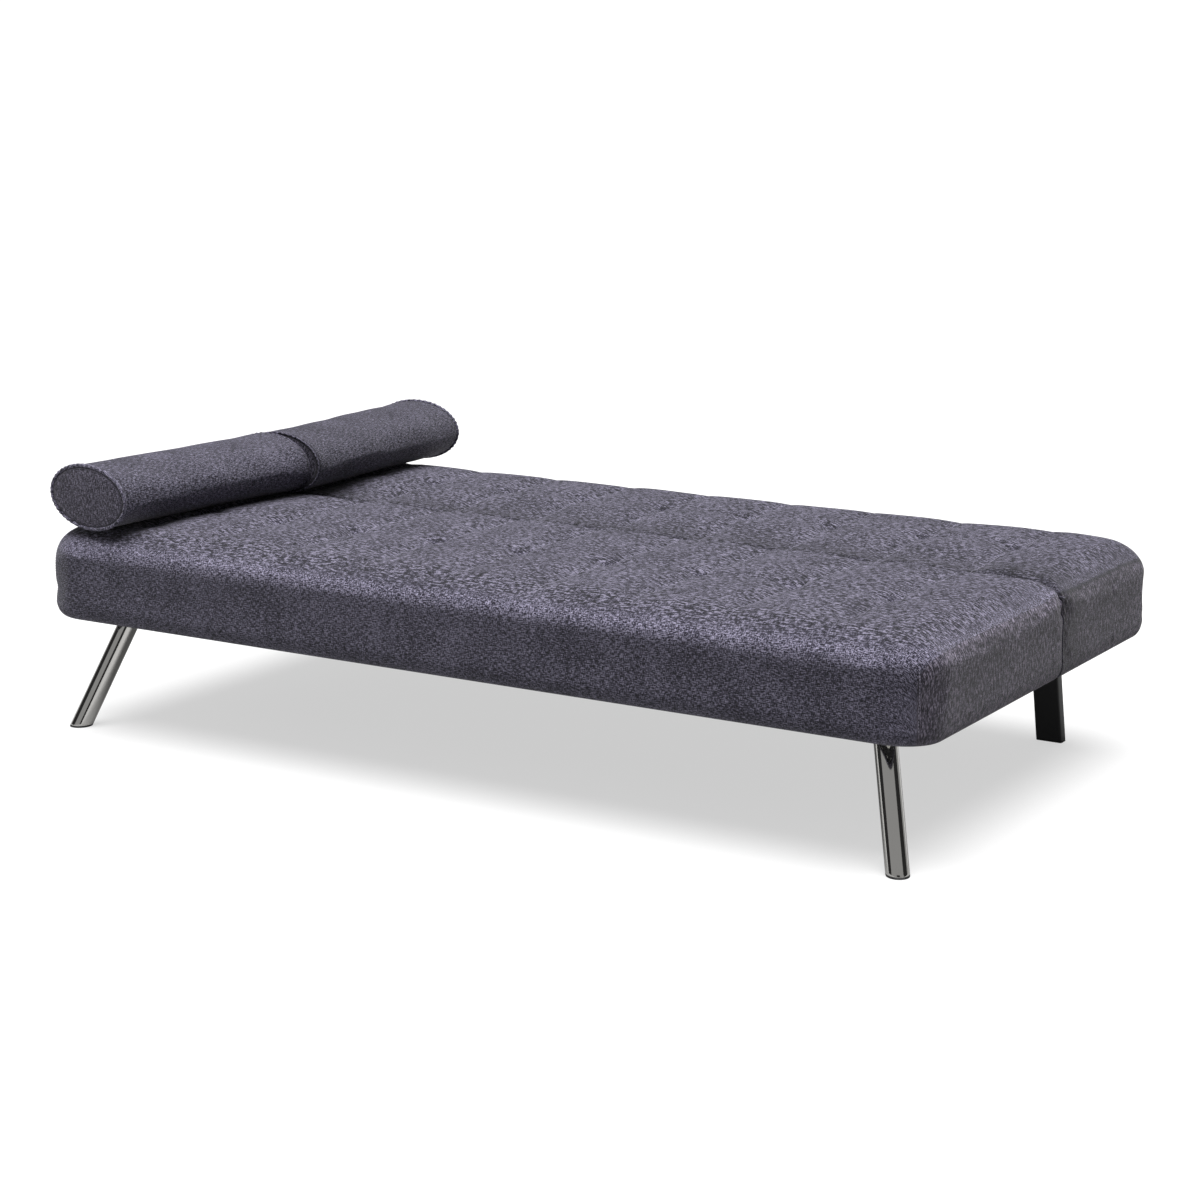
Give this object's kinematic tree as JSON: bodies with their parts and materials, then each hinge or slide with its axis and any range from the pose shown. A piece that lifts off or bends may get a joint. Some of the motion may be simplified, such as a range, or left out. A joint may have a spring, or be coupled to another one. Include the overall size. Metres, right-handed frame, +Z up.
{
  "type": "click clack sofa bed",
  "caption": "Click clack sofa bed laid flat: quilted seat and backrest on ratchet hinges, splayed chrome front legs, black rear legs, two oval bolsters across one end.",
  "frame": {"origin": "middle of the bounding box in plan, at floor level", "axes": "+Z up, +X along the bed from the bolsters' end to the clear end, +Y from the seat's front to the backrest's rear"},
  "size_m": [1.8, 1.0178, 0.5051],
  "materials": {
    "fabric": "rough woven",
    "foam": "open cell",
    "dust_cover": "nonwoven",
    "timber": "sawn",
    "chrome": "polished",
    "black_steel": "satin",
    "zinc_steel": "zinc plated",
    "black_plastic": "moulded"
  },
  "bodies": {
    "seat": {"seat_cover": "fabric", "seat_foam": "foam", "seat_dust_cover": "dust_cover", "seat_front_rail": "timber", "seat_rear_rail": "timber", "seat_centre_rail": "timber", "seat_end_rail_left": "timber", "seat_end_rail_right": "timber", "corner_block_left": "timber", "corner_block_right": "timber", "seat_slat_1": "timber", "seat_slat_2": "timber", "seat_slat_3": "timber", "seat_slat_4": "timber", "seat_slat_5": "timber", "front_leg_left": "chrome", "front_leg_right": "chrome", "front_foot_cap_left": "black_plastic", "front_foot_cap_right": "black_plastic", "front_leg_plate_left": "chrome", "front_leg_plate_right": "chrome", "rear_arm_left": "black_steel", "rear_arm_right": "black_steel", "rear_leg_left": "black_steel", "rear_leg_right": "black_steel", "rear_foot_cap_left": "black_plastic", "rear_foot_cap_right": "black_plastic", "hinge_seat_plate_left": "zinc_steel", "hinge_seat_plate_right": "zinc_steel", "hinge_pin_left": "zinc_steel", "hinge_pin_right": "zinc_steel", "pawl_pin_left": "zinc_steel", "pawl_pin_right": "zinc_steel", "pawl_spring_left": "zinc_steel", "pawl_spring_right": "zinc_steel"},
    "backrest": {"back_cover": "fabric", "back_foam": "foam", "back_dust_cover": "dust_cover", "back_rear_rail": "timber", "back_front_rail": "timber", "back_end_rail_left": "timber", "back_end_rail_right": "timber", "back_slat_1": "timber", "back_slat_2": "timber", "back_slat_3": "timber", "back_slat_4": "timber", "back_slat_5": "timber", "hinge_back_plate_left": "zinc_steel", "hinge_back_plate_right": "zinc_steel"},
    "pawl_left": {"pawl_left": "zinc_steel"},
    "pawl_right": {"pawl_right": "zinc_steel"},
    "front_bolster": {"bolster_front": "fabric"},
    "rear_bolster": {"bolster_rear": "fabric"}
  },
  "joints": [
    {"name": "backrest_fold", "type": "hinge", "parent": "seat", "child": "backrest", "pos_m": [0, 0.0372, 0.3582], "axis": [1, 0, 0], "range_deg": [0, 75]},
    {"name": "pawl_left_swing", "type": "hinge", "parent": "seat", "child": "pawl_left", "pos_m": [0, -0.00845, 0.35122], "axis": [1, 0, 0], "range_deg": [0, 8], "stiffness_Nm_per_rad": 0.5},
    {"name": "pawl_right_swing", "type": "hinge", "parent": "seat", "child": "pawl_right", "pos_m": [0, -0.00845, 0.35122], "axis": [1, 0, 0], "range_deg": [0, 8], "stiffness_Nm_per_rad": 0.5},
    {"name": "bolster_front_lift", "type": "slide", "parent": "seat", "child": "front_bolster", "axis": [0, -0.8, 0.6], "range_m": [0, 0.3]},
    {"name": "bolster_rear_slide", "type": "slide", "parent": "backrest", "child": "rear_bolster", "axis": [0, 1, 0], "range_m": [0, 0.2]}
  ],
  "couplings": [
    {"joint": "bolster_rear_slide", "follows": "backrest_fold", "m_per_rad": 0.15}
  ]
}
